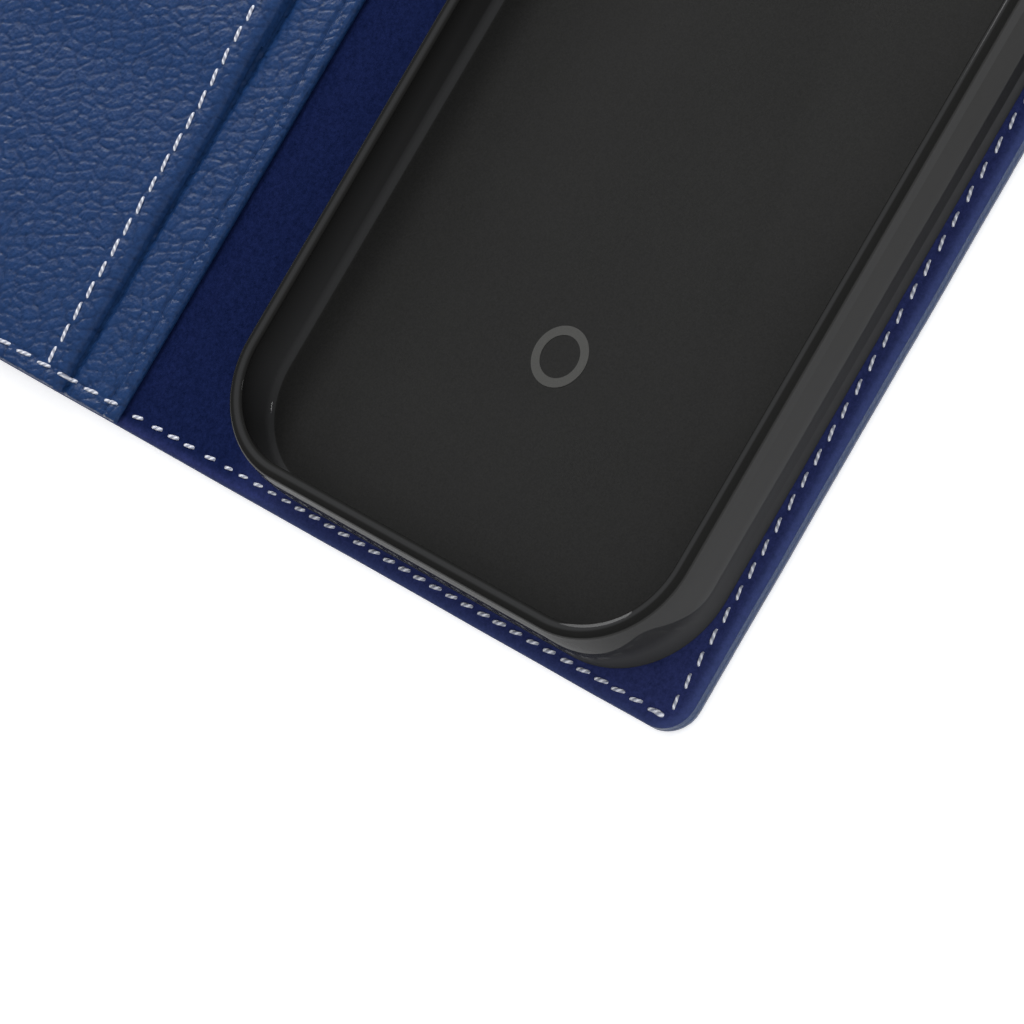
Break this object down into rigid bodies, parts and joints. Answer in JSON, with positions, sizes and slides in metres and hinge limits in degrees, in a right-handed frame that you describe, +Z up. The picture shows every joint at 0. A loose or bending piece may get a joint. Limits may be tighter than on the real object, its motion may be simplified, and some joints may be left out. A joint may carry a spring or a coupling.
{
  "type": "phone wallet case",
  "caption": "Folding leather phone case, lying open, with a glossy black shell that holds the phone and card and cash pockets in the front cover.",
  "frame": {"origin": "middle of the open case's footprint, on its outer face", "axes": "+X from the front cover to the back cover, +Y to the top of the phone, +Z up to the inside"},
  "size_m": [0.174, 0.155, 0.0129],
  "materials": {
    "pebbled_leather": "pebbled grain, semi-matte",
    "smooth_lining": "smooth, matte",
    "gloss_shell": "glossy black",
    "thread": "twisted thread",
    "board": "plain grey board",
    "adhesive": "foam tape",
    "shell_print": "matte print",
    "pocket_fabric": "fine weave"
  },
  "bodies": {
    "back_cover": {"back_outer_leather": "pebbled_leather", "back_board": "board", "back_lining": "smooth_lining", "shell_adhesive": "adhesive", "phone_shell": "gloss_shell", "shell_print": "shell_print", "back_edge_thread": "thread", "camera_window_thread": "thread", "back_fold_leather": "pebbled_leather", "back_fold_lining": "smooth_lining", "back_fold_thread": "thread"},
    "spine": {"spine_outer_leather": "pebbled_leather", "spine_board": "board", "spine_lining": "smooth_lining", "spine_edge_thread": "thread"},
    "front_cover": {"front_fold_leather": "pebbled_leather", "front_fold_lining": "smooth_lining", "front_fold_thread": "thread", "front_outer_leather": "pebbled_leather", "front_board": "board", "front_lining": "smooth_lining", "cash_pocket_panel": "pebbled_leather", "card_base_panel": "pebbled_leather", "card_slot_lining_3": "pocket_fabric", "card_slot_lining_2": "pocket_fabric", "card_slot_panel_3": "pebbled_leather", "card_slot_panel_2": "pebbled_leather", "card_slot_panel_1": "pebbled_leather", "card_seam_thread": "thread", "front_edge_thread": "thread"}
  },
  "joints": [
    {"name": "back_fold", "type": "hinge", "parent": "back_cover", "child": "spine", "pos_m": [0.00781, 0, 0.0018], "axis": [0, 1, 0], "range_deg": [-90, 90], "deforming": ["back_fold_leather", "back_fold_lining", "back_fold_thread"]},
    {"name": "front_fold", "type": "hinge", "parent": "spine", "child": "front_cover", "pos_m": [-0.00781, 0, 0.0018], "axis": [0, 1, 0], "range_deg": [-90, 90], "deforming": ["front_fold_leather", "front_fold_lining", "front_fold_thread"]}
  ]
}
